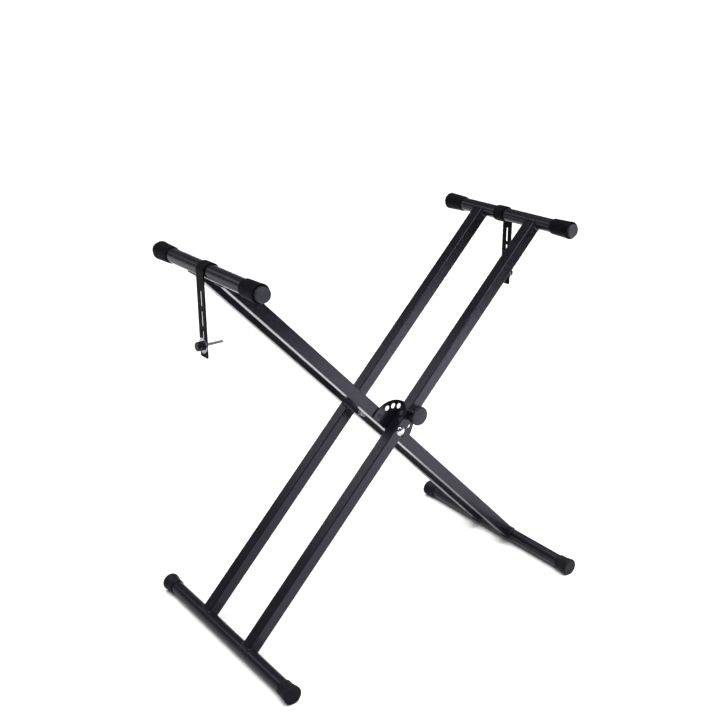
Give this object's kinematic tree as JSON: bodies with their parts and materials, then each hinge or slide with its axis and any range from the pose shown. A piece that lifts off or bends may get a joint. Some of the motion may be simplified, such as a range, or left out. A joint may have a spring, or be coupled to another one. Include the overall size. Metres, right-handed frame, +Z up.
{
  "type": "keyboard stand",
  "caption": "Folding double-braced X stand for an electronic keyboard, with rubber-gripped arms, a hole plate and sprung pull knob for its height, and slotted hold-down straps",
  "frame": {"origin": "on the floor, midway between the foot bars and midway between their ends", "axes": "+Z up; -Y is the front, where the lock knob is; +X runs from the left foot bar to the right one; the pivot bolts lie along Y"},
  "size_m": [0.7616, 0.4706, 0.7606],
  "materials": {
    "black_powder_coat": "semi-gloss black powder coat on steel",
    "black_rubber": "matte moulded rubber",
    "black_plastic": "satin moulded plastic",
    "bright_zinc": "bright zinc plate",
    "spring_steel": "drawn spring wire"
  },
  "bodies": {
    "outer_frame": {"outer_leg_front": "black_powder_coat", "outer_leg_rear": "black_powder_coat", "foot_bar_left": "black_powder_coat", "arm_right": "black_powder_coat", "foot_cap_left_front": "black_rubber", "foot_cap_left_rear": "black_rubber", "arm_grip_right_front": "black_rubber", "arm_grip_right_rear": "black_rubber", "arm_plug_right_front": "black_plastic", "arm_plug_right_rear": "black_plastic", "lock_housing": "black_plastic", "lock_spring": "spring_steel", "pivot_bolt_front": "bright_zinc", "pivot_bolt_rear": "bright_zinc", "pivot_washer_front": "bright_zinc", "pivot_washer_rear": "bright_zinc", "pivot_nut_front": "bright_zinc", "pivot_nut_rear": "bright_zinc", "pivot_spacer_front": "bright_zinc", "pivot_spacer_rear": "bright_zinc"},
    "inner_frame": {"inner_leg_front": "black_powder_coat", "inner_leg_rear": "black_powder_coat", "foot_bar_right": "black_powder_coat", "arm_left": "black_powder_coat", "foot_cap_right_front": "black_rubber", "foot_cap_right_rear": "black_rubber", "arm_grip_left_front": "black_rubber", "arm_grip_left_rear": "black_rubber", "arm_plug_left_front": "black_plastic", "arm_plug_left_rear": "black_plastic", "lock_disc": "black_powder_coat", "disc_rivet_upper": "black_powder_coat", "disc_rivet_lower": "black_powder_coat"},
    "lock_plunger": {"lock_knob": "black_plastic", "lock_pin": "bright_zinc"},
    "left_strap": {"strap_left": "black_powder_coat"},
    "left_washer": {"strap_washer_left": "bright_zinc"},
    "left_screw": {"strap_screw_left": "bright_zinc", "strap_screw_head_left": "black_plastic"},
    "right_strap": {"strap_right": "black_powder_coat"},
    "right_washer": {"strap_washer_right": "bright_zinc"},
    "right_screw": {"strap_screw_right": "bright_zinc", "strap_screw_head_right": "black_plastic"}
  },
  "joints": [
    {"name": "legs_fold", "type": "hinge", "parent": "outer_frame", "child": "inner_frame", "pos_m": [0, 0, 0.38199], "axis": [0, 1, 0], "range_deg": [-58.5, 83.5]},
    {"name": "lock_pull", "type": "slide", "parent": "outer_frame", "child": "lock_plunger", "axis": [0, -1, 0], "range_m": [0, 0.006], "stiffness_N_per_m": 1000, "springref_m": -0.004, "deforming": ["lock_spring"]},
    {"name": "left_strap_swing", "type": "hinge", "parent": "inner_frame", "child": "left_strap", "pos_m": [-0.35071, -0.0005, 0.74339], "axis": [0, -1, 0], "range_deg": [-90, 95]},
    {"name": "left_screw_slide", "type": "slide", "parent": "left_strap", "child": "left_washer", "axis": [0, 0, 1], "range_m": [0, 0.0235]},
    {"name": "left_screw_turn", "type": "hinge", "parent": "left_washer", "child": "left_screw", "pos_m": [-0.36451, -0.0005, 0.61239], "axis": [-1, 0, 0], "continuous": true},
    {"name": "right_strap_swing", "type": "hinge", "parent": "outer_frame", "child": "right_strap", "pos_m": [0.35071, 0.014, 0.74339], "axis": [0, -1, 0], "range_deg": [-95, 90]},
    {"name": "right_screw_slide", "type": "slide", "parent": "right_strap", "child": "right_washer", "axis": [0, 0, 1], "range_m": [0, 0.0235]},
    {"name": "right_screw_turn", "type": "hinge", "parent": "right_washer", "child": "right_screw", "pos_m": [0.36451, 0.014, 0.61239], "axis": [1, 0, 0], "continuous": true}
  ]
}
